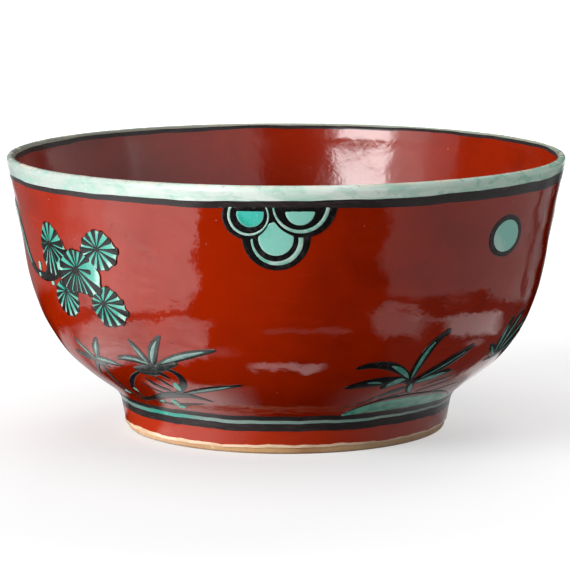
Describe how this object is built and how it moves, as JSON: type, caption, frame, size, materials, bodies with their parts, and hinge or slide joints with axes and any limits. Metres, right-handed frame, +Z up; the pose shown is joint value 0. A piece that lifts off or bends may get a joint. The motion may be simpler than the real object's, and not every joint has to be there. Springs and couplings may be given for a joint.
{
  "type": "footed porcelain bowl",
  "caption": "Footed round porcelain bowl with a coral-red glaze, a pale green lip, black ring lines and raised painted cloud, moon, pine, bamboo and grass motifs.",
  "frame": {"origin": "centre of the foot ring, on the surface the bowl stands on", "axes": "+Z up along the bowl's axis of turning; -Y is the side with the hanging cloud, which faces the viewer in the picture; +X to that viewer's right"},
  "size_m": [0.145, 0.145, 0.0715],
  "materials": {
    "biscuit_clay": "matte, unglazed",
    "red_glaze": "gloss",
    "inner_red_glaze": "gloss",
    "green_glaze": "gloss",
    "green_line": "gloss",
    "white_glaze": "gloss",
    "black_line": "gloss",
    "black_enamel": "gloss",
    "turquoise_enamel": "gloss",
    "pale_enamel": "gloss",
    "moon_enamel": "gloss",
    "leaf_enamel": "gloss",
    "bank_enamel": "gloss",
    "bough_enamel": "gloss"
  },
  "bodies": {
    "root": {"back_bamboo_clump": "leaf_enamel", "back_cloud_fill_left": "turquoise_enamel", "back_cloud_fill_low": "turquoise_enamel", "back_cloud_fill_right": "turquoise_enamel", "back_cloud_outline": "black_enamel", "back_cloud_ring_left": "pale_enamel", "back_cloud_ring_low": "pale_enamel", "back_cloud_ring_right": "pale_enamel", "back_grass_bank": "bank_enamel", "back_grass_clump": "leaf_enamel", "back_pine_bough": "bough_enamel", "back_pine_sprig_1": "turquoise_enamel", "back_pine_sprig_2": "turquoise_enamel", "back_pine_sprig_3": "turquoise_enamel", "bamboo_clump": "leaf_enamel", "bamboo_spray": "leaf_enamel", "foot_glaze_edge": "white_glaze", "foot_green_line": "green_line", "foot_line_lower": "black_line", "foot_line_upper": "black_line", "foot_recess_glaze": "white_glaze", "foot_red_glaze": "red_glaze", "front_cloud_fill_left": "turquoise_enamel", "front_cloud_fill_low": "turquoise_enamel", "front_cloud_fill_right": "turquoise_enamel", "front_cloud_outline": "black_enamel", "front_cloud_ring_left": "pale_enamel", "front_cloud_ring_low": "pale_enamel", "front_cloud_ring_right": "pale_enamel", "front_pine_bough": "bough_enamel", "front_pine_sprig_1": "turquoise_enamel", "front_pine_sprig_2": "turquoise_enamel", "front_pine_sprig_3": "turquoise_enamel", "front_pine_sprig_4": "turquoise_enamel", "front_pine_sprig_5": "turquoise_enamel", "grass_bank": "bank_enamel", "grass_clump": "leaf_enamel", "inner_red_glaze": "inner_red_glaze", "low_leaf": "leaf_enamel", "moon_disc": "moon_enamel", "moon_ring": "black_enamel", "outer_red_glaze": "red_glaze", "porcelain_body": "biscuit_clay", "rim_band": "green_glaze", "rim_line_inside": "black_line", "rim_line_outside": "black_line", "rock_outline": "black_enamel", "side_spray": "leaf_enamel"}
  },
  "joints": []
}
